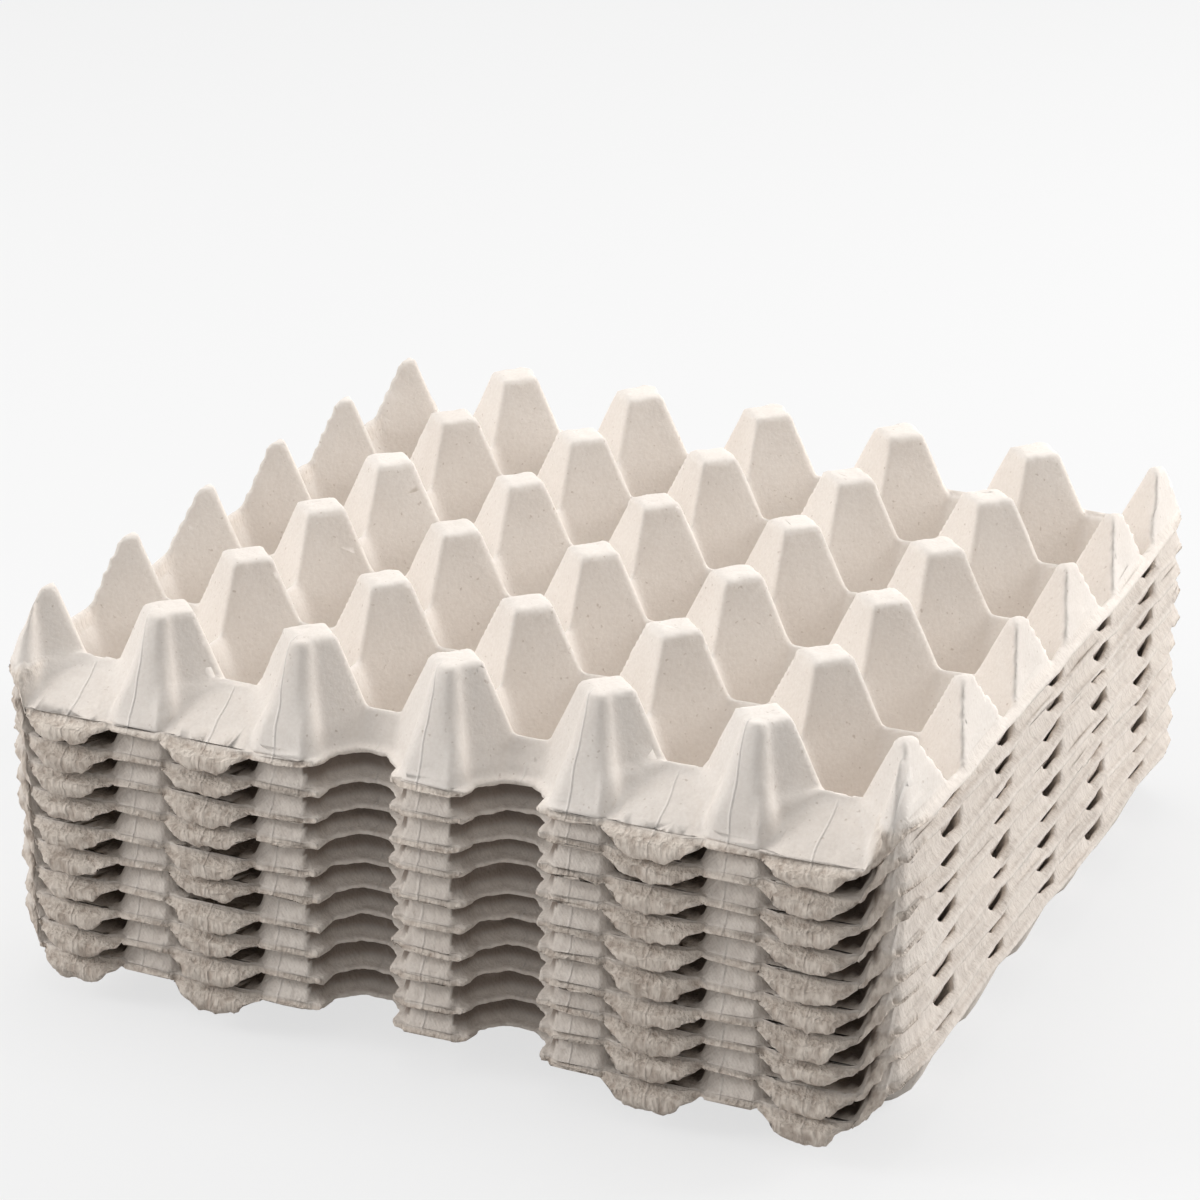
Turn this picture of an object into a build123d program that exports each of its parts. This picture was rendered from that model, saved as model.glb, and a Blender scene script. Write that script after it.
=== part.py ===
from build123d import *
from math import sqrt
import os

os.makedirs("parts", exist_ok=True)

# Stack of nested moulded pulp egg trays, in millimetres, bottom tray standing on its cup floors at Z = 0

# Lattice of cells
cells_x = 6
cells_y = 5
cell_pitch = 49.0

# The stack
tray_count = 10
stack_pitch = 9.0
nest_clearance = 0.16

# The moulded sheet
tray_height = 47.0
wall = 1.9

# A cup is an octagonal funnel: flat sides face the saddles, slanted sides face the posts
floor_flat_half = 10.5
floor_slant_half = 10.2
bevel_height = 4.0
wall_flat_half = 13.5
wall_slant_half = 13.0
flat_draft = 0.44
slant_draft = 0.34

# Edges with whole posts, along X: a skirt with a pocket between each two posts, down to a rim
post_front_reach = 9.0
post_front_draft = 0.42
rim_level = 13.0
rim_ledge = 2.6
pocket_half = 13.5

# Edges with halved posts, along Y: posts closed by flat faces, over a rolled ledge
closure_inset = 4.5
ledge_level = 24.0
ledge_width = 2.3
corner_tear = 9.0

# Pockets in the middle of a long edge stay open as finger notches, the others have a shelf and a lip
open_pockets = 2
lip_clearance = 0.3
lip_thickness = 2.4
lip_half_width = 13.5

# How far a cutting body reaches past what it cuts
reach_past = 1.0

# Steepest walls lean just enough for a tray to sink into the next one without touching it
steep_run = stack_pitch * nest_clearance + wall * sqrt(stack_pitch**2 + nest_clearance**2 - wall**2)
steep_draft = steep_run / (stack_pitch**2 - wall**2)

# Sizes that follow
edge_line_x = cells_x * cell_pitch / 2
edge_line_y = cells_y * cell_pitch / 2
rim_top = rim_level + wall
ceiling = tray_height - wall
bevel_wall = wall / 2
above = tray_height + reach_past
below = -reach_past
lip_reach = rim_top - stack_pitch + lip_clearance


def sheet_offset(draft):
    """Level distance between the two faces of a wall that leans by draft."""
    return wall * sqrt(1 + draft**2)


def flat_half(level):
    """Half width of a cup between its flat sides."""
    return wall_flat_half + flat_draft * (level - wall)


def slant_half(level):
    """Distance from a cup's centre to its slanted sides."""
    return wall_slant_half + slant_draft * (level - wall)


def octagon(flat, slant):
    """Corners of a cup's section."""
    corner = sqrt(2) * slant - flat
    half = [(flat, -corner), (flat, corner), (corner, flat), (-corner, flat)]
    return half + [(-x, -y) for x, y in half]


def cup_outline(level, grow_flat=0, grow_slant=0):
    """Section of a cup above its bevel."""
    return octagon(flat_half(level) + grow_flat, slant_half(level) + grow_slant)


def pocket_outline(level, grow_flat=0, grow_slant=0, grow_flank=0):
    """Section of an edge pocket: a cup's back and slants, with steeper flanks out past the rim."""
    flat = flat_half(level) + grow_flat
    slant = sqrt(2) * (slant_half(level) + grow_slant)
    flank = pocket_half + steep_draft * (level - rim_top) + grow_flank
    side = [(flank, -cell_pitch), (flank, slant - flank), (slant - flat, flat)]
    return side + [(-x, y) for x, y in reversed(side)]


def closure_half(level):
    """Half length of the tray between its closing faces."""
    return edge_line_x - closure_inset + steep_draft * (tray_height - level)


def front_half(level):
    """Half width of the tray over the fronts of its edge posts."""
    return edge_line_y + post_front_reach + post_front_draft * (tray_height - level)


def frustum(low_outline, low, high_outline, high):
    """Solid with flat sides between two level outlines."""
    lower = [(x, y, low) for x, y in low_outline]
    upper = [(x, y, high) for x, y in high_outline]
    wires = [Wire.make_polygon(lower), Wire.make_polygon(upper)]
    for i in range(len(lower)):
        wires.append(Wire.make_polygon([lower[i - 1], lower[i], upper[i], upper[i - 1]]))
    return Solid(Shell([Face(wire) for wire in wires]))


rim_front = front_half(rim_level) + rim_ledge
ledge_front = closure_half(ledge_level) + ledge_width

# Room inside one cup
with BuildPart() as cup_room:
    bevel_top = wall + bevel_height
    add(frustum(octagon(floor_flat_half, floor_slant_half), wall, cup_outline(bevel_top), bevel_top))
    add(frustum(cup_outline(bevel_top), bevel_top, cup_outline(above), above))

# One cup with its wall, filled
with BuildPart() as cup_body:
    flat_sheet = sheet_offset(flat_draft)
    slant_sheet = sheet_offset(slant_draft)
    bevel_top = bevel_wall + bevel_height
    foot = octagon(floor_flat_half + bevel_wall, floor_slant_half + bevel_wall)
    shoulder = cup_outline(bevel_top, flat_sheet, slant_sheet)
    add(frustum(foot, 0, shoulder, bevel_top))
    add(frustum(shoulder, bevel_top, cup_outline(above, flat_sheet, slant_sheet), above))

# Room inside one edge pocket, down to its shelf
with BuildPart() as pocket_room:
    add(frustum(pocket_outline(rim_top), rim_top, pocket_outline(above), above))

# One edge pocket with its wall, filled
with BuildPart() as pocket_body:
    sheets = (flat_sheet, slant_sheet, sheet_offset(steep_draft))
    add(frustum(pocket_outline(below, *sheets), below, pocket_outline(above, *sheets), above))

# Way through the rim under an open pocket, inside its ledge
with BuildPart() as notch:
    with BuildSketch(Plane.XY.offset(below)):
        Polygon(*pocket_outline(rim_top, -rim_ledge, -rim_ledge, -rim_ledge), align=None)
    extrude(amount=above)

cup_places = GridLocations(cell_pitch, cell_pitch, cells_x, cells_y).locations
pocket_line = edge_line_y + cell_pitch / 2
pocket_xs = [(i + 0.5) * cell_pitch - edge_line_x for i in range(cells_x)]
first_open = (cells_x - open_pockets) // 2
open_xs = pocket_xs[first_open : first_open + open_pockets]
lip_xs = [x for x in pocket_xs if x not in open_xs]


def both_edges(xs):
    """Places of a pocket at each x, on both long edges, facing out."""
    front = [Location((x, -pocket_line, 0)) for x in xs]
    back = [Location((x, pocket_line, 0), (0, 0, 180)) for x in xs]
    return front + back


def body_outline(level, inset_x, inset_y):
    """Section of the tray's outer faces, moved in."""
    x = closure_half(level) - inset_x
    y = front_half(level) - inset_y
    return [(x, y), (-x, y), (-x, -y), (x, -y)]


def skirt_outline(level, side):
    """Section of a long edge's skirt, torn back at both corners."""
    x = closure_half(ledge_level) - corner_tear * (ledge_level - level) / (ledge_level - rim_level)
    near = side * edge_line_y
    far = side * front_half(level)
    return [(x, near), (x, far), (-x, far), (-x, near)]


# Room under the sheet, open downwards
with BuildPart() as hollow:
    front_sheet = sheet_offset(post_front_draft)
    closure_sheet = sheet_offset(steep_draft)
    past_ledge = -(ledge_width + reach_past)
    lower = [body_outline(level, past_ledge, front_sheet) for level in (below, ledge_level)]
    add(frustum(lower[0], below, lower[1], ledge_level))
    upper = [body_outline(level, closure_sheet, front_sheet) for level in (ledge_level, ceiling)]
    add(frustum(upper[0], ledge_level, upper[1], ceiling))
    with Locations(*cup_places):
        add(cup_body.part, mode=Mode.SUBTRACT)
    with Locations(*both_edges(pocket_xs)):
        add(pocket_body.part, mode=Mode.SUBTRACT)

# One tray
with BuildPart() as tray:
    # Upper part, down to the ledge of the closed edges
    outlines = [body_outline(level, 0, 0) for level in (ledge_level, tray_height)]
    add(frustum(outlines[0], ledge_level, outlines[1], tray_height))
    # Skirts of the long edges, torn back at the corners
    for side in (-1, 1):
        add(frustum(skirt_outline(rim_level, side), rim_level, skirt_outline(ledge_level, side), ledge_level))
    # Lower halves of the cups
    with BuildSketch():
        Rectangle(2 * closure_half(ledge_level), 2 * edge_line_y)
    extrude(amount=ledge_level)
    with Locations(*cup_places):
        add(cup_room.part, mode=Mode.SUBTRACT)
    with Locations(*both_edges(pocket_xs)):
        add(pocket_room.part, mode=Mode.SUBTRACT)
    # Rims of the long edges, with their ledge
    for side in (-1, 1):
        with BuildSketch(Plane.XY.offset(rim_level)):
            rim_depth = rim_front - edge_line_y
            with Locations((0, side * (edge_line_y + rim_depth / 2))):
                Rectangle(2 * (closure_half(ledge_level) - corner_tear), rim_depth)
        extrude(amount=wall)
    with Locations(*both_edges(open_xs)):
        add(notch.part, mode=Mode.SUBTRACT)
    # Ledges of the short edges
    for side in (-1, 1):
        with BuildSketch(Plane.XY.offset(ledge_level)):
            with Locations((side * (ledge_front - ledge_width), 0)):
                Rectangle(2 * ledge_width, 2 * front_half(ledge_level))
        extrude(amount=wall)
    # Lips that hang from the shelves, almost down to the rim below
    for x in lip_xs:
        for side in (-1, 1):
            lip_back = side * (rim_front - lip_thickness)
            with BuildSketch(Plane.XZ.offset(-lip_back)):
                with BuildLine():
                    left = (x - lip_half_width, rim_level)
                    right = (x + lip_half_width, rim_level)
                    Polyline(left, (left[0], rim_top), (right[0], rim_top), right)
                    ThreePointArc(right, (x, lip_reach), left)
                make_face()
            extrude(amount=-side * lip_thickness)
    add(hollow.part, mode=Mode.SUBTRACT)

for index in range(tray_count):
    with BuildPart() as stacked:
        add(tray.part.moved(Location((0, 0, index * stack_pitch))))
    stacked.part.label = f"tray_{index + 1:02d}"
    export_step(stacked.part, f"parts/{stacked.part.label}.step", write_pcurves=False)
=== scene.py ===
import math

import bpy
import numpy as np
from mathutils import Matrix, Vector, noise


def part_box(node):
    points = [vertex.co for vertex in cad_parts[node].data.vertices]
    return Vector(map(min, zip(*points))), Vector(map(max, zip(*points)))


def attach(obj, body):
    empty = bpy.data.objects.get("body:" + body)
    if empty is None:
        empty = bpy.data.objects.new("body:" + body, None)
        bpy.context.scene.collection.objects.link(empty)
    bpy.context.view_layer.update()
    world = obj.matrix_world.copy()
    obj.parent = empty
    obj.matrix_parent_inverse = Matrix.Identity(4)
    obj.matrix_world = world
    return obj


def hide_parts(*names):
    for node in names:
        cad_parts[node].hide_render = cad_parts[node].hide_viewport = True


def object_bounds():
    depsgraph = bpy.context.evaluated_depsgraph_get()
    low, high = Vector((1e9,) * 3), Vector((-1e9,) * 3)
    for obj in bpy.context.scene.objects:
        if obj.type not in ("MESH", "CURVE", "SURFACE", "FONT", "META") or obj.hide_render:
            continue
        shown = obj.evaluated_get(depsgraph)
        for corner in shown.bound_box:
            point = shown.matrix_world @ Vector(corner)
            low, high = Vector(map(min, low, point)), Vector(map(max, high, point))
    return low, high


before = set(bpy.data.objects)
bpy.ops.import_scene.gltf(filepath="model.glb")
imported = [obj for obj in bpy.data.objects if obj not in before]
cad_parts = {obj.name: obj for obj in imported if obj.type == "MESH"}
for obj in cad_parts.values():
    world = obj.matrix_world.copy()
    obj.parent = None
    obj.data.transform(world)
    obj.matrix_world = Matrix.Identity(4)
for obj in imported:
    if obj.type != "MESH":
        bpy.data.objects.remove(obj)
cad_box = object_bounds()

# The view: a long lens a little over a metre away, to the right of the front edge and above the stack, level
# with the horizon. Its place is worked out from the middle of the post tops of the top tray.
VIEW_TURN = math.radians(24.364)
VIEW_HEIGHT = math.radians(21.904)
VIEW_DISTANCE = 1.2214
VIEW_OFFSET = (-0.00814, -0.02476)
LENS_MM = 113.5
SENSOR_MM = 36
VIEW_END = 20

stack_top = cad_box[1].z
back = Vector((
    math.sin(VIEW_TURN) * math.cos(VIEW_HEIGHT),
    -math.cos(VIEW_TURN) * math.cos(VIEW_HEIGHT),
    math.sin(VIEW_HEIGHT),
))
right = Vector((math.cos(VIEW_TURN), math.sin(VIEW_TURN), 0))
up = back.cross(right)
bpy.ops.object.camera_add()
camera = bpy.context.object
place = Vector((0, 0, stack_top)) + VIEW_OFFSET[0] * right + VIEW_OFFSET[1] * up + VIEW_DISTANCE * back
camera.matrix_world = Matrix.Translation(place) @ Matrix((right, up, back)).transposed().to_4x4()
camera.data.lens = LENS_MM
camera.data.sensor_width = SENSOR_MM
camera.data.clip_end = VIEW_END
bpy.context.scene.camera = camera
bpy.context.scene.view_settings.view_transform = "Standard"

# The table: a plain pale sheet that the bottom tray stands on. It looks nearly white to the camera and keeps
# the soft shadow of the stack.
TABLE_SIZE = 16
TABLE_DROP = 0.0002
TABLE_WHITE = (0.62, 0.62, 0.62, 1)
TABLE_ROUGHNESS = 0.9
TABLE_SHEEN = 0.1
SHADOW_SHARE = 0.3

bpy.ops.mesh.primitive_plane_add(size=TABLE_SIZE, location=(0, 0, -TABLE_DROP))
table = bpy.context.object
table.name = "table"
table_finish = bpy.data.materials.new("table_white")
table_finish.use_nodes = True
nodes = table_finish.node_tree.nodes
links = table_finish.node_tree.links
paint = nodes["Principled BSDF"]
paint.inputs["Base Color"].default_value = TABLE_WHITE
paint.inputs["Roughness"].default_value = TABLE_ROUGHNESS
paint.inputs["Specular IOR Level"].default_value = TABLE_SHEEN
glow = nodes.new("ShaderNodeEmission")
ray = nodes.new("ShaderNodeLightPath")
share = nodes.new("ShaderNodeMath")
share.operation = "MULTIPLY"
share.inputs[1].default_value = 1 - SHADOW_SHARE
mix = nodes.new("ShaderNodeMixShader")
links.new(ray.outputs["Is Camera Ray"], share.inputs[0])
links.new(share.outputs[0], mix.inputs["Fac"])
links.new(paint.outputs[0], mix.inputs[1])
links.new(glow.outputs[0], mix.inputs[2])
links.new(mix.outputs[0], nodes["Material Output"].inputs["Surface"])
table.data.materials.append(table_finish)

# The light: a big soft lamp on each side and one overhead, in a room that is paler above and at the back
# left. The right lamp is the strongest, and stands low enough to leave the front edge's pockets in shade.
LAMPS = (
    ("right_lamp", (1.35, 1.25, 0.75), 0.8, 29),
    ("left_lamp", (-1.5, -0.85, 0.95), 0.7, 14),
    ("top_lamp", (-0.1, 0.4, 1.9), 1.0, 8.5),
)
ROOM_PALE_WAY = Vector((-0.45, 0.35, 0.82)).normalized()
ROOM_PALE = 0.86
ROOM_DARK = 0.2
ROOM_DARK_FROM = -0.5

for name, spot, size, power in LAMPS:
    aim = (Vector((0, 0, stack_top / 2)) - Vector(spot)).to_track_quat("-Z", "Y")
    bpy.ops.object.light_add(type="AREA", location=spot, rotation=aim.to_euler())
    lamp = bpy.context.object
    lamp.name = name
    lamp.data.size = size
    lamp.data.energy = power
room = bpy.data.worlds.new("room")
room.use_nodes = True
nodes = room.node_tree.nodes
links = room.node_tree.links
nodes["Background"].inputs["Color"].default_value = (1, 1, 1, 1)
facing = nodes.new("ShaderNodeVectorMath")
facing.operation = "DOT_PRODUCT"
facing.inputs[1].default_value = ROOM_PALE_WAY
links.new(nodes.new("ShaderNodeTexCoord").outputs["Generated"], facing.inputs[0])
level = nodes.new("ShaderNodeMapRange")
level.inputs["From Min"].default_value = ROOM_DARK_FROM
level.inputs["To Min"].default_value = ROOM_DARK
level.inputs["To Max"].default_value = ROOM_PALE
links.new(facing.outputs["Value"], level.inputs["Value"])
shown = nodes.new("ShaderNodeMath")
shown.operation = "MAXIMUM"
links.new(level.outputs[0], shown.inputs[0])
links.new(nodes.new("ShaderNodeLightPath").outputs["Is Camera Ray"], shown.inputs[1])
links.new(shown.outputs[0], nodes["Background"].inputs["Strength"])
bpy.context.scene.world = room

# The fibre of the pulp: recycled paper, felted flat against the mould on the smooth faces, and stringy
# where an edge was torn. Patterns are given as cells a metre, detail, and a stretch along each axis.
FINE_FIBRE = (900, 3)
STRANDS = (420, 4, (1, 0.45, 1))
LUMPS = (130, 2)
CLOUDS = (26, 5)
SPECKS = (650, 1)
CLOUD_RANGE = (0.38, 0.68)
MOTTLE_RANGE = (0.35, 0.65)
SPECK_RANGE = (0.70, 0.80)
FINE_SHARE, STRAND_SHARE, LUMP_SHARE = 0.35, 0.45, 0.8
CLOUD_SHARE, MOTTLE_SHARE = 0.55, 0.45
THREADS = (900, 5, (1, 1, 0.3))
TUFTS = (330, 4, (1, 1, 0.6))
TUFT_SHARE, THREAD_SHARE = 0.6, 0.4
TUFT_RANGE = (0.36, 0.56)


def value_node(tree, operation, *values):
    """A Math node, with each value either a number or another node's output."""
    node = tree.nodes.new("ShaderNodeMath")
    node.operation = operation
    for socket, value in zip(node.inputs, values):
        if isinstance(value, (int, float)):
            socket.default_value = value
        else:
            tree.links.new(value, socket)
    return node.outputs[0]


def sum_node(tree, first, first_share, second, second_share):
    """Two values added, each times its share."""
    parts = [value_node(tree, "MULTIPLY", *pair) for pair in ((first, first_share), (second, second_share))]
    return value_node(tree, "ADD", *parts)


def noise_node(tree, place, scale, detail, stretch=(1, 1, 1)):
    """A noise pattern of scale cells a metre, drawn out along an axis by a small stretch."""
    mapping = tree.nodes.new("ShaderNodeMapping")
    mapping.inputs["Scale"].default_value = stretch
    tree.links.new(place, mapping.inputs["Vector"])
    node = tree.nodes.new("ShaderNodeTexNoise")
    node.inputs["Scale"].default_value = scale
    node.inputs["Detail"].default_value = detail
    tree.links.new(mapping.outputs[0], node.inputs["Vector"])
    return node.outputs["Fac"]


def ramp_node(tree, value, low, high):
    """Value spread so that low gives 0 and high gives 1."""
    node = tree.nodes.new("ShaderNodeMapRange")
    node.inputs["From Min"].default_value = low
    node.inputs["From Max"].default_value = high
    tree.links.new(value, node.inputs["Value"])
    return node.outputs[0]


def fibre_group(name, *outputs):
    """A node group with an input for the place, its place output, and its output node."""
    group = bpy.data.node_groups.new(name, "ShaderNodeTree")
    group.interface.new_socket("Place", in_out="INPUT", socket_type="NodeSocketVector")
    for output in outputs:
        group.interface.new_socket(output, in_out="OUTPUT", socket_type="NodeSocketFloat")
    place = group.nodes.new("NodeGroupInput").outputs["Place"]
    return group, place, group.nodes.new("NodeGroupOutput")


felt, felt_place, felt_out = fibre_group("felted_fibre", "Height", "Cloud", "Speck")
fine = noise_node(felt, felt_place, *FINE_FIBRE)
grain = sum_node(felt, fine, FINE_SHARE, noise_node(felt, felt_place, *STRANDS), STRAND_SHARE)
height = sum_node(felt, grain, 1, noise_node(felt, felt_place, *LUMPS), LUMP_SHARE)
cloud = ramp_node(felt, noise_node(felt, felt_place, *CLOUDS), *CLOUD_RANGE)
cloud = sum_node(felt, cloud, CLOUD_SHARE, ramp_node(felt, fine, *MOTTLE_RANGE), MOTTLE_SHARE)
speck = ramp_node(felt, noise_node(felt, felt_place, *SPECKS), *SPECK_RANGE)
for output, value in (("Height", height), ("Cloud", cloud), ("Speck", speck)):
    felt.links.new(value, felt_out.inputs[output])

torn, torn_place, torn_out = fibre_group("torn_fibre", "Height", "Depth")
threads = noise_node(torn, torn_place, *THREADS)
tufts = noise_node(torn, torn_place, *TUFTS)
# Painted shade on torn pulp: this amount follows the tufts and threads, low where they sink, and the finish
# paints those hollows darker brown.
depth = ramp_node(torn, sum_node(torn, tufts, TUFT_SHARE, threads, THREAD_SHARE), *TUFT_RANGE)
torn.links.new(value_node(torn, "ADD", threads, tufts), torn_out.inputs["Height"])
torn.links.new(depth, torn_out.inputs["Depth"])

# The finish of a tray: off-white with small brown specks, brown where it is torn and on the outer faces of
# lower trays, and dark with painted shade where the trays shade each other. Thin raised seams run down the
# outer faces of the long edges, painted paler along their crest as a highlight, and sheltered walls keep the
# print of the wire mould.
PALE = (0.82, 0.765, 0.71, 1)
PALE_SHADE = (0.74, 0.675, 0.615, 1)
BROWN = (0.78, 0.69, 0.60, 1)
BROWN_SHADE = (0.44, 0.355, 0.29, 1)
# DEEP_SHADE is the colour of the painted shade between the trays; it also darkens the outer faces of lower
# trays a little.
DEEP_SHADE = (0.16, 0.12, 0.095, 1)
SEAM_HIGHLIGHT = (0.88, 0.83, 0.78, 1)
SPECK_TINT = 0.5
SEAM_HIGHLIGHT_SHARE = 0.5
TORN_TINT = 0.85
SEAM_STEP = 0.049
SEAM_WIDTH = 0.0006
SEAM_WANDER = 0.003
WANDERS = (60, 1)
POST_SEAM = -0.0025
SEAM_FROM = (0.126, 0.128)
SCREEN_STEP = 0.0013
FELT_HEIGHT = 0.5
SEAM_HEIGHT = 0.6
WEAVE_HEIGHT = 0.05
TORN_HEIGHT = 2.0
RELIEF_STRENGTH = 0.75
RELIEF_DEPTH = 0.0007
PULP_ROUGHNESS = 0.93
PULP_SHEEN = 0.18


def mix_node(tree, factor, first, second):
    """Two colours mixed, each a tuple or another node's output."""
    node = tree.nodes.new("ShaderNodeMix")
    node.data_type = "RGBA"
    tree.links.new(factor, node.inputs["Factor"])
    for socket, value in zip((node.inputs[6], node.inputs[7]), (first, second)):
        if isinstance(value, tuple):
            socket.default_value = value
        else:
            tree.links.new(value, socket)
    return node.outputs[2]


pulp = bpy.data.materials.new("pulp")
pulp.use_nodes = True
tree = pulp.node_tree
shader = tree.nodes["Principled BSDF"]
where = tree.nodes.new("ShaderNodeTexCoord").outputs["Object"]
amounts = {}
for name in ("fray", "shade", "screen"):
    node = tree.nodes.new("ShaderNodeAttribute")
    node.attribute_name = name
    amounts[name] = node.outputs["Fac"]
fibres = {}
for group in (felt, torn):
    fibres[group] = tree.nodes.new("ShaderNodeGroup")
    fibres[group].node_tree = group
    tree.links.new(where, fibres[group].inputs["Place"])
felt_use, torn_use = fibres[felt].outputs, fibres[torn].outputs
axes = tree.nodes.new("ShaderNodeSeparateXYZ")
tree.links.new(where, axes.inputs[0])
outer = ramp_node(tree, value_node(tree, "ABSOLUTE", axes.outputs["Y"]), *SEAM_FROM)


def seam_lines(offset):
    """Raised lines along Z at each step of the cells, moved sideways by offset."""
    wander = value_node(tree, "SUBTRACT", noise_node(tree, where, *WANDERS), 0.5)
    wander = value_node(tree, "MULTIPLY", wander, SEAM_WANDER)
    across = value_node(tree, "ADD", value_node(tree, "SUBTRACT", axes.outputs["X"], offset), wander)
    folded = value_node(tree, "PINGPONG", across, SEAM_STEP / 2)
    return ramp_node(tree, folded, SEAM_WIDTH, 0)


seams = value_node(tree, "MAXIMUM", seam_lines(POST_SEAM), seam_lines(SEAM_STEP / 2))
seams = value_node(tree, "MULTIPLY", seams, outer)
smooth_colour = mix_node(tree, felt_use["Cloud"], PALE, PALE_SHADE)
speck_tint = value_node(tree, "MULTIPLY", felt_use["Speck"], SPECK_TINT)
smooth_colour = mix_node(tree, speck_tint, smooth_colour, BROWN_SHADE)
# Painted highlight: the seams are painted paler, as if light caught their raised crest.
smooth_colour = mix_node(tree, value_node(tree, "MULTIPLY", seams, SEAM_HIGHLIGHT_SHARE), smooth_colour, SEAM_HIGHLIGHT)
# Painted shade: torn pulp is painted darker brown in the hollows between its tufts.
torn_colour = mix_node(tree, torn_use["Depth"], BROWN_SHADE, BROWN)
torn_tint = value_node(tree, "MULTIPLY", amounts["fray"], TORN_TINT)
colour = mix_node(tree, torn_tint, smooth_colour, torn_colour)
# Painted shade: the shade amount darkens the finish towards DEEP_SHADE where shade falls between the trays
# and under the shelves.
tree.links.new(mix_node(tree, amounts["shade"], colour, DEEP_SHADE), shader.inputs["Base Color"])
shader.inputs["Roughness"].default_value = PULP_ROUGHNESS
shader.inputs["Specular IOR Level"].default_value = PULP_SHEEN
wires = []
for way in "XZ":
    turn = value_node(tree, "MULTIPLY", axes.outputs[way], math.tau / SCREEN_STEP)
    wires.append(value_node(tree, "SINE", turn))
weave = value_node(tree, "MULTIPLY", value_node(tree, "MULTIPLY", *wires), WEAVE_HEIGHT)
printed = value_node(tree, "MULTIPLY", weave, amounts["screen"])
raised = sum_node(tree, seams, SEAM_HEIGHT, printed, 1)
smooth_height = sum_node(tree, felt_use["Height"], FELT_HEIGHT, raised, 1)
torn_height = value_node(tree, "MULTIPLY", torn_use["Height"], amounts["fray"])
relief = tree.nodes.new("ShaderNodeBump")
relief.inputs["Strength"].default_value = RELIEF_STRENGTH
relief.inputs["Distance"].default_value = RELIEF_DEPTH
tree.links.new(sum_node(tree, smooth_height, 1, torn_height, TORN_HEIGHT), relief.inputs["Height"])
tree.links.new(relief.outputs[0], shader.inputs["Normal"])

# The mould: each tray is a sheet of pulp, sucked onto a wire mould. The plain solid is taken as its shape,
# with soft folds, and points that don't show are thinned out. From here on, places are in millimetres, out
# from a tray's middle or above its foot, and a pair of them says where something starts and is complete.
VOXEL = 0.00105
MERGE = 0.00001
SOFT_PASSES = 5
SOFT_STEP = 0.5
SOFT_LEAST = 0.08
SHARP_SHARE = 0.6
THIN_BELOW = 17
RIM_OUT = (120, 121)
RIM_FADE = (13.7, 15.4)
RIM_FOOT = (12, 13)
RIM_TORN = 0.55
LIP_TIP = (3.5, 5)
LIP_OUT = (140, 143)
LEDGE_OUT = (144, 145.2)
LEDGE_FOOT = (21.6, 22.6)
LEDGE_HEAD = (27.2, 28.2)
LEDGE_TORN = 0.22
CORNER_TORN_SIDE = (136, 140)
CORNER_TORN_OUT = (120, 125)
CORNER_TORN_FOOT = (10, 12)
CORNER_TORN_HEAD = (24, 27)
SEEN_FRONT = (123, 126)
SEEN_FRONT_FOOT = 4
SEEN_FRONT_HEAD = (17.5, 21)
SEEN_SIDE = (140.5, 142)
SEEN_SIDE_FOOT = (20, 22)
SEEN_SIDE_HEAD = (33, 38)
FACING_UP = (-0.2, 0.15)
TOP_TRIANGLES = 180000
LOW_TRIANGLES = 84000
TOP_KEPT = 0.75
TOP_FREE_LEAST = 0.2
LOW_KEPT = 0.95
GROUP_LEVELS = 12
FREE_LEVELS = 20
FREE_FACTOR = 2.0


def step_between(low, high, value):
    """0 below low, 1 above high, eased between."""
    t = np.clip((value - low) / (high - low), 0, 1)
    return t * t * (3 - 2 * t)


def read_points(mesh):
    """A mesh's points, in millimetres."""
    flat = np.empty(len(mesh.vertices) * 3, np.float32)
    mesh.vertices.foreach_get("co", flat)
    return flat.reshape(-1, 3).astype(float) * 1000


def write_points(mesh, points):
    """Moves a mesh's points to these, in millimetres."""
    mesh.vertices.foreach_set("co", (points / 1000).astype(np.float32).ravel())
    mesh.update()


def frayed(points):
    """How torn the pulp is at each point: 1 on lips and rim edges, 0 on moulded faces."""
    x, y, z = np.abs(points[:, 0]), np.abs(points[:, 1]), points[:, 2]
    rim = step_between(*RIM_OUT, y) * (1 - step_between(*RIM_FADE, z)) * step_between(*LIP_TIP, z)
    rim = rim * np.maximum(step_between(*LIP_OUT, y), RIM_TORN * step_between(*RIM_FOOT, z))
    ledge = step_between(*LEDGE_OUT, x) * step_between(*LEDGE_FOOT, z) * (1 - step_between(*LEDGE_HEAD, z))
    corner = step_between(*CORNER_TORN_SIDE, x) * step_between(*CORNER_TORN_OUT, y)
    corner = corner * (1 - step_between(*CORNER_TORN_HEAD, z)) * step_between(*CORNER_TORN_FOOT, z)
    return np.maximum(np.maximum(rim, LEDGE_TORN * ledge), corner)


def seen_low(points):
    """Where a tray with another on top still shows: its rims, lips and ledges."""
    x, y, z = np.abs(points[:, 0]), np.abs(points[:, 1]), points[:, 2]
    long_edge = step_between(*SEEN_FRONT, y) * (z > SEEN_FRONT_FOOT) * (1 - step_between(*SEEN_FRONT_HEAD, z))
    short_edge = step_between(*SEEN_SIDE, x) * step_between(*SEEN_SIDE_FOOT, z)
    return np.maximum(long_edge, short_edge * (1 - step_between(*SEEN_SIDE_HEAD, z)))


def select_only(piece):
    """Makes the piece the active object, with nothing else selected."""
    bpy.ops.object.select_all(action="DESELECT")
    piece.select_set(True)
    bpy.context.view_layer.objects.active = piece


def apply_modifier(piece, kind, **settings):
    """Adds a modifier to the piece and applies it."""
    modifier = piece.modifiers.new(kind.lower(), kind)
    for key, value in settings.items():
        setattr(modifier, key, value)
    select_only(piece)
    bpy.ops.object.modifier_apply(modifier=modifier.name)


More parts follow.
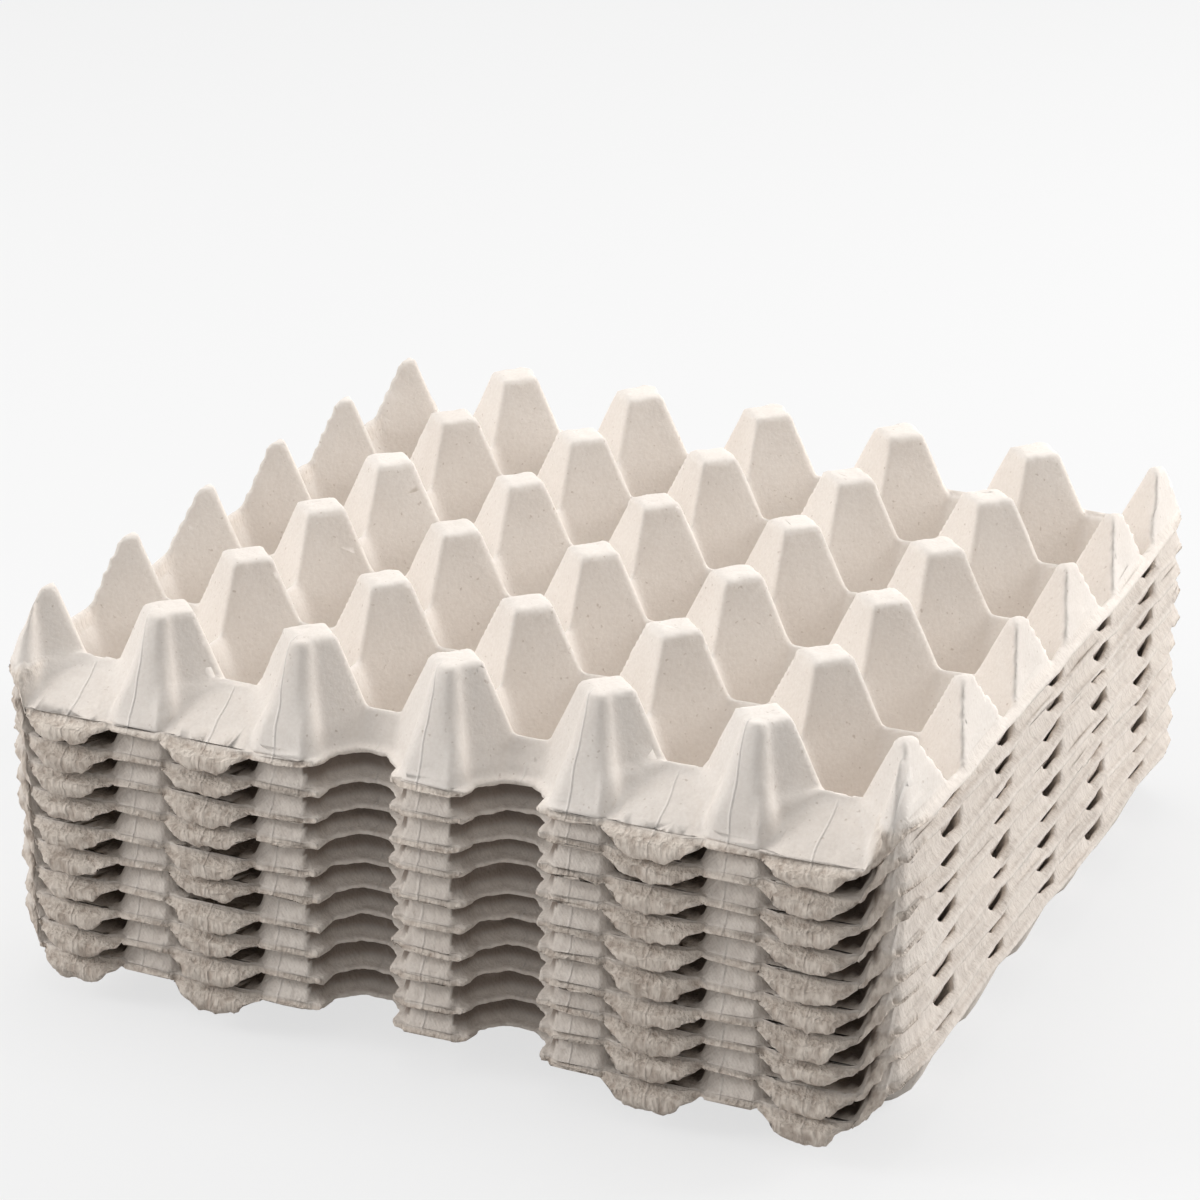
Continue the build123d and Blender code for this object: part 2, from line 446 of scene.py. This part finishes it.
def copy_of(piece, name):
    """A copy of the piece with its own mesh."""
    twin = bpy.data.objects.new(name, piece.data.copy())
    bpy.context.scene.collection.objects.link(twin)
    return twin


def set_group(piece, name, weights, levels):
    """A vertex group with these weights, in even levels."""
    group = piece.vertex_groups.new(name=name)
    steps = np.round(weights * levels).astype(int)
    for level in range(1, levels + 1):
        members = np.flatnonzero(steps == level)
        if len(members):
            group.add(members.tolist(), level / levels, "REPLACE")
    return group.name


def thin_out(piece, free, target):
    """Takes points out, mostly where free is high, down to the target number of triangles."""
    faces = sum(len(p.vertices) - 2 for p in piece.data.polygons)
    group = set_group(piece, "free", free, FREE_LEVELS)
    ratio = target / faces
    apply_modifier(piece, "DECIMATE", ratio=ratio, vertex_group=group, vertex_group_factor=FREE_FACTOR)
    piece.vertex_groups.clear()


tray_names = sorted(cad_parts)
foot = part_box(tray_names[0])[0].z
stack_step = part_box(tray_names[1])[0].z - foot
mould = copy_of(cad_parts[tray_names[0]], "mould")
mould.data.materials.clear()
select_only(mould)
bpy.ops.object.mode_set(mode="EDIT")
bpy.ops.mesh.select_all(action="SELECT")
bpy.ops.mesh.remove_doubles(threshold=MERGE)
bpy.ops.object.mode_set(mode="OBJECT")
apply_modifier(mould, "REMESH", mode="VOXEL", voxel_size=VOXEL)
points = read_points(mould.data)
points[:, 2] -= foot * 1000
front_edge = step_between(*RIM_OUT, np.abs(points[:, 1])) * (points[:, 2] < THIN_BELOW)
softness = np.clip(1 - SHARP_SHARE * np.maximum(frayed(points), front_edge), SOFT_LEAST, 1)
soft_group = set_group(mould, "soft", softness, GROUP_LEVELS)
apply_modifier(mould, "SMOOTH", factor=SOFT_STEP, iterations=SOFT_PASSES, vertex_group=soft_group)
mould.vertex_groups.clear()

points = read_points(mould.data)
low_mould = copy_of(mould, "low_mould")
thin_out(low_mould, np.clip(1 - LOW_KEPT * seen_low(points), 1 - LOW_KEPT, 1), LOW_TRIANGLES)
normals = np.empty(len(mould.data.vertices) * 3, np.float32)
mould.data.vertex_normals.foreach_get("vector", normals)
top_seen = np.maximum(step_between(*FACING_UP, normals.reshape(-1, 3)[:, 2]), seen_low(points))
thin_out(mould, np.clip(1 - TOP_KEPT * top_seen, TOP_FREE_LEAST, 1), TOP_TRIANGLES)


# Uneven drying: pulp shrinks as it dries, so no two trays are alike. Each tray's points are moved by noise
# of its own, which starts from a fixed seed and so is the same on each run.
NOISE_SEED = 5
SEED_SHIFT = (17.3, 5.1, 9.7)


def vector_noise(points, size, seed, squeeze=1):
    """Three noise values for each point, with bumps of about size millimetres, taller by a small squeeze."""
    shift = Vector(SEED_SHIFT) * seed
    return np.array([noise.noise_vector(Vector(p) / size + shift) for p in points * (1, 1, squeeze)])


noise.seed_set(NOISE_SEED)

# The lips: flaps of torn pulp that hang from the shelf of each closed pocket, over the rim below. They
# swell in the middle of their height, hang each to its own depth, and taper at both ends.
LIP_FRONT = (143.5, 144.5)
LIP_HEAD = (13.1, 14.6)
LIP_BULGE = 1.3
LIP_MIDDLE = 10.5
LIP_BULGE_HALF = 4.5
LIP_BACK = 142.5
LIP_ROOT = 13.0
LIP_HANG = 0.9
LIP_SPREAD = 0.35
LIP_ROLL = 3.7
LIP_HANG_LEAST, LIP_HANG_MOST = 0.7, 1.03
LIP_HALF = 13.5
LIP_REACH_MOST = 0.98
LIP_TAPER = (0.45, 1.0)
LIP_TAPER_MOST = 1.06
POCKETS = 6

post_step = SEAM_STEP * 1000


def across_pocket(x):
    """Distance along the edge from the middle of the pocket."""
    return (x % post_step) - post_step / 2


def hang_lips(points, moved, seed):
    """Shapes each lip."""
    x, y, z = points.T
    side = np.sign(y)
    lip = step_between(*LIP_FRONT, np.abs(y)) * (1 - step_between(*LIP_HEAD, z))
    moved[:, 1] += side * lip * LIP_BULGE * np.clip(1 - ((z - LIP_MIDDLE) / LIP_BULGE_HALF) ** 2, 0, 1)
    hang = np.ones(len(x))
    for pocket in range(-POCKETS // 2, POCKETS // 2):
        for edge in (-1, 1):
            roll = noise.noise(Vector((pocket, edge, seed)) * LIP_ROLL)
            hang[(np.floor(x / post_step) == pocket) & (side == edge)] = LIP_HANG + LIP_SPREAD * roll
    reach = np.clip(np.abs(across_pocket(x)) / LIP_HALF, 0, LIP_REACH_MOST)
    taper = np.minimum((1 - step_between(*LIP_TAPER, reach)) / (1 - reach**2), LIP_TAPER_MOST)
    taper = np.clip(hang, LIP_HANG_LEAST, LIP_HANG_MOST) * taper
    hanging = (z < LIP_ROOT) & (np.abs(y) > LIP_BACK)
    moved[hanging, 2] = (LIP_ROOT - (LIP_ROOT - z) * taper)[hanging]


# The rims, posts and corners: the rim curls in under the posts as it dries, and the mould rounds the posts of
# the long edges and the four corners of a tray, more than the plain solid's flat faces say.
CURL_FROM, CURL_TO = 12.4, 16
CURL_SHARE = 0.65
WALL_FRONT = 145.4
POST_TOP = 47.0
POST_FRONT = 131.5
FRONT_LEAN = 0.42
FLANK = 13.5
FLANK_LEAN = 0.235
FLANK_LEVEL = 14.9
POST_ROUND = 5.5
POST_ROUND_SHARE = 0.85
POST_EASE = 4
POST_ABOVE = 11
CLOSURE = 142.5
SKIRT_END = 147.9
SKIRT_LEAN = 0.82
LEDGE_LEVEL = 24.0
CORNER_ROUND = 7.0
CORNER_ABOVE = 8
ROUND_MOST = 1.2


def curl_rims(points, moved):
    """Curls the rims in where no lip hangs from them."""
    y, z = points[:, 1], points[:, 2]
    curl = step_between(*RIM_OUT, np.abs(y)) * (z < CURL_TO) * (z > CURL_FROM) * (np.abs(y) > WALL_FRONT)
    moved[:, 1] -= np.sign(y) * curl * CURL_SHARE * (np.abs(y) - WALL_FRONT)


def pocket_flank(z):
    """Half width of a pocket between the flanks of its posts."""
    return FLANK + FLANK_LEAN * (z - FLANK_LEVEL)


def rounding(depth, other_depth, radius):
    """How far a point moves in from one face when the corner with another is rounded."""
    near = np.clip((radius - depth) / radius, 0, ROUND_MOST)
    other = np.clip((radius - other_depth) / radius, 0, ROUND_MOST)
    return radius * near * (1 - np.sqrt(1 - other**2 / 2))


def round_corners(points, moved):
    """Rounds the posts of the long edges and the tray's corners."""
    x, y, z = points.T
    side = np.sign(y)
    across = across_pocket(x)
    flank = pocket_flank(z)
    front = POST_FRONT + FRONT_LEAN * (POST_TOP - z) - np.abs(y)
    inside = np.abs(across) - flank
    radius = np.minimum(POST_ROUND, POST_ROUND_SHARE * (post_step / 2 - flank))
    kept = np.clip(1 + inside / POST_EASE, 0, 1) * (np.abs(y) > RIM_OUT[0]) * (z > POST_ABOVE)
    moved[:, 1] -= side * kept * rounding(front, inside, radius)
    moved[:, 0] += np.sign(across) * kept * rounding(inside, front, radius)
    low_end = SKIRT_END - SKIRT_LEAN * (LEDGE_LEVEL - z)
    end = np.where(z < LEDGE_LEVEL, low_end, CLOSURE + FLANK_LEAN * (POST_TOP - z)) - np.abs(x)
    at_corner = (np.abs(y) > RIM_OUT[0]) & (z > CORNER_ABOVE)
    moved[:, 1] -= side * at_corner * rounding(front, end, CORNER_ROUND)
    moved[:, 0] -= np.sign(x) * at_corner * rounding(end, front, CORNER_ROUND)


# The aprons and ribs: between the front posts the sheet runs straight from the saddle down to the rim, which
# only the top tray shows, and a soft rib stands on the face of each post.
APRON_SIDE = (2.2, 4)
APRON_BACK = (122.5, 124.5)
APRON_FOOT = 144.9
APRON_SLOPE = 0.58
APRON_DEPTH = 23
SADDLE_LEVEL = 27.3
RIB_PLACE = 8.5
RIB_HALF = 1.8
RIB_HEIGHT = 0.8
RIB_FOOT = (14, 18)
RIB_HEAD = (34, 42)
RIB_OUT = (134, 138)


def fill_aprons(points, moved):
    """Lifts the shelf of each closed pocket to the straight sheet."""
    x, y, z = points.T
    inside = np.abs(across_pocket(x)) - pocket_flank(z)
    closed = (np.abs(x) > post_step) * (1 - step_between(*APRON_SIDE, inside))
    closed = closed * step_between(*APRON_BACK, np.abs(y))
    rise = APRON_SLOPE * np.clip(APRON_FOOT - np.abs(y), 0, APRON_DEPTH)
    share = np.clip((SADDLE_LEVEL - z) / (SADDLE_LEVEL - FLANK_LEVEL), 0, 1) * (z > POST_ABOVE)
    moved[:, 2] += closed * rise * share


def raise_ribs(points, moved):
    """Raises the rib of each post."""
    x, y, z = points.T
    u = (x - RIB_PLACE + post_step / 2) % post_step - post_step / 2
    rib = np.exp(-((u / RIB_HALF) ** 2)) * step_between(*RIB_FOOT, z) * (1 - step_between(*RIB_HEAD, z))
    moved[:, 1] += np.sign(y) * RIB_HEIGHT * rib * step_between(*RIB_OUT, np.abs(y))


# The ledges of the short edges: narrow shelves under the closed faces, moulded with the tray. They roll in as
# they dry, most of all at the corners.
LEDGE_FRONT = 147.6
ROLL_FROM, ROLL_TO = 22.5, 27
ROLL_SHARE = 0.25
CORNER_ROLL = 0.5
CORNER_ROLL_OUT = (118, 132)


def roll_ledges(points, moved):
    """Rolls the ledges in."""
    x, y, z = points.T
    rolled = (np.abs(x) > LEDGE_FRONT) & (z > ROLL_FROM) & (z < ROLL_TO)
    share = ROLL_SHARE + CORNER_ROLL * step_between(*CORNER_ROLL_OUT, np.abs(y))
    moved[:, 0] -= np.sign(x) * rolled * share * (np.abs(x) - LEDGE_FRONT)


# The rough edges: rims and ledges wander up and down, most of all on the short sides, torn places are shaggy,
# and the open faces of the top tray are a little dented, with creased post tops.
FELT_LEAST = 0.01
WAVE_SIZE, WAVE_SQUEEZE, WAVE_REACH = 26, 0.3, (0.35, 0.35, 1.0)
DRIFT_SIZE, DRIFT_SQUEEZE, DRIFT_REACH = 75, 0.2, (0.9, 0.9, 0.8)
RIPPLE_SIZE, RIPPLE_SQUEEZE, RIPPLE_REACH = 11, 0.4, (0.6, 0.2, 1.1)
DRIFT_SEED, RIPPLE_SEED = 0.5, 0.7
SHORT_SIDE = (138, 142)
SHORT_SIDE_MORE = 1.3
TUFT_SIZE, TUFT_REACH, TUFT_SEED = 5.0, 0.75, 1
STRING_SIZE, STRING_REACH, STRING_SEED, STRING_SQUEEZE = 2.2, 0.65, 2, 0.7
DENT_SIZE, DENT_REACH, DENT_SEED = 17, 0.28, 3
CREASE_SIZE, CREASE_REACH, CREASE_SEED = 3.2, 0.35, 4
CREASE_FROM = (43, 46)


def wander_edges(points, moved, torn_amount, seed):
    """Moves the rims and ledges up and down in long waves, with ripples on the short sides."""
    edge = np.maximum(seen_low(points), torn_amount)
    chosen = np.flatnonzero(edge > FELT_LEAST)
    near = points[chosen]
    wave = vector_noise(near, WAVE_SIZE, seed, WAVE_SQUEEZE)
    drift = vector_noise(near, DRIFT_SIZE, seed + DRIFT_SEED, DRIFT_SQUEEZE)
    at_short = step_between(*SHORT_SIDE, np.abs(near[:, 0]))[:, None]
    ripple = vector_noise(near, RIPPLE_SIZE, seed + RIPPLE_SEED, RIPPLE_SQUEEZE) * at_short
    wave = wave * WAVE_REACH * (1 + SHORT_SIDE_MORE * at_short) + ripple * RIPPLE_REACH
    moved[chosen] += edge[chosen, None] * (wave + drift * DRIFT_REACH)


def shag_torn(points, moved, torn_amount, seed):
    """Makes the torn places shaggy, in tufts and strings."""
    chosen = np.flatnonzero(torn_amount > FELT_LEAST)
    tufts = TUFT_REACH * vector_noise(points[chosen], TUFT_SIZE, seed + TUFT_SEED)
    strings = STRING_REACH * vector_noise(points[chosen], STRING_SIZE, seed + STRING_SEED, STRING_SQUEEZE)
    moved[chosen] += torn_amount[chosen, None] * (tufts + strings)


def dent_faces(points, moved, torn_amount, seed):
    """Dents the moulded faces a little and creases the post tops."""
    chosen = np.flatnonzero(torn_amount <= FELT_LEAST)
    near = points[chosen]
    dent = DENT_REACH * vector_noise(near, DENT_SIZE, seed + DENT_SEED)
    crease = CREASE_REACH * vector_noise(near, CREASE_SIZE, seed + CREASE_SEED)
    moved[chosen] += dent + step_between(*CREASE_FROM, near[:, 2])[:, None] * crease


# The painted shade: deep between the trays, in the slots and notches of the lower trays and under each shelf,
# the pulp is painted dark where shade falls. The outer faces of lower trays are a little darker, browner and
# rougher than the top one, and their walls keep the print of the wire mould. Three amounts on a tray's points
# tell the finish where.
DEEP_SIDE = 1.5
SLOT_FROM, SLOT_TO, SLOT_BACK, SLOT_FRONT = 14.2, 27, 118, 142
NOTCH_FOOT = (14, 19)
OUTER_FRONT = (124, 130)
OUTER_SIDE = (138, 141)
UNDER_FOOT = (12, 13)
UNDER_FRONT = (140, 142.5)
SLOT_SHADE, NOTCH_SHADE, UNDER_SHADE, OUTER_SHADE = 0.9, 0.88, 0.8, 0.12
OUTER_BROWN = 0.38
PRINT_FROM = 15.5


def mark_fray_shade_and_print(mesh, points, torn_amount, inner):
    """Writes how torn, how dark with painted shade and how printed the pulp is at each point."""
    x, y, z = np.abs(points[:, 0]), np.abs(points[:, 1]), points[:, 2]
    inside = np.abs(across_pocket(points[:, 0])) - pocket_flank(z)
    # Painted shade: the walls deep in the slots of closed pockets and in the notches of lower trays, and the
    # underside of each shelf, are darkened where shade falls between the trays and under the shelf.
    deep = (inside < DEEP_SIDE) * (z < SLOT_TO) * (y > SLOT_BACK)
    in_slot = deep * (x > post_step) * (z > SLOT_FROM) * (y < SLOT_FRONT)
    in_notch = deep * (x < post_step) * step_between(*NOTCH_FOOT, z)
    # The outer faces of lower trays: a little darker towards the painted shade colour, and browner and
    # rougher through the fray amount.
    outside = np.maximum(step_between(*OUTER_FRONT, y), step_between(*OUTER_SIDE, x))
    under = (1 - step_between(*UNDER_FOOT, z)) * (y > RIM_OUT[0]) * (1 - step_between(*UNDER_FRONT, y))
    fray, shade, printed = torn_amount, UNDER_SHADE * under, np.zeros(len(x))
    if not inner:
        shades = [shade, SLOT_SHADE * in_slot, NOTCH_SHADE * in_notch, OUTER_SHADE * outside]
        fray, shade = np.maximum(torn_amount, OUTER_BROWN * outside), np.max(shades, axis=0)
        printed = (z > PRINT_FROM) * (1 - torn_amount)
    for name, values in (("fray", fray), ("shade", shade), ("screen", printed)):
        layer = mesh.attributes.new(name, "FLOAT", "POINT")
        layer.data.foreach_set("value", np.asarray(values, np.float32))


# The stack: ten trays, each let down into the one below it the same way round. Each takes the place of its
# plain solid, and the top one alone shows its inside.
for index, name in enumerate(tray_names):
    is_top = index == len(tray_names) - 1
    seed = index + 1
    tray = copy_of(mould if is_top else low_mould, f"pulp_{name}")
    points = read_points(tray.data)
    moved = points.copy()
    torn_amount = frayed(points)
    hang_lips(points, moved, seed)
    curl_rims(points, moved)
    round_corners(points, moved)
    if is_top:
        fill_aprons(points, moved)
    roll_ledges(points, moved)
    raise_ribs(points, moved)
    wander_edges(points, moved, torn_amount, seed)
    shag_torn(points, moved, torn_amount, seed)
    if is_top:
        dent_faces(points, moved, torn_amount, seed)
    write_points(tray.data, moved)
    mark_fray_shade_and_print(tray.data, points, torn_amount, is_top)
    tray.data.transform(Matrix.Translation((0, 0, index * stack_step)))
    select_only(tray)
    bpy.ops.object.shade_smooth()
    tray.data.materials.append(pulp)
    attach(tray, "root")
    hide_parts(name)
for piece in (mould, low_mould):
    bpy.data.objects.remove(piece)
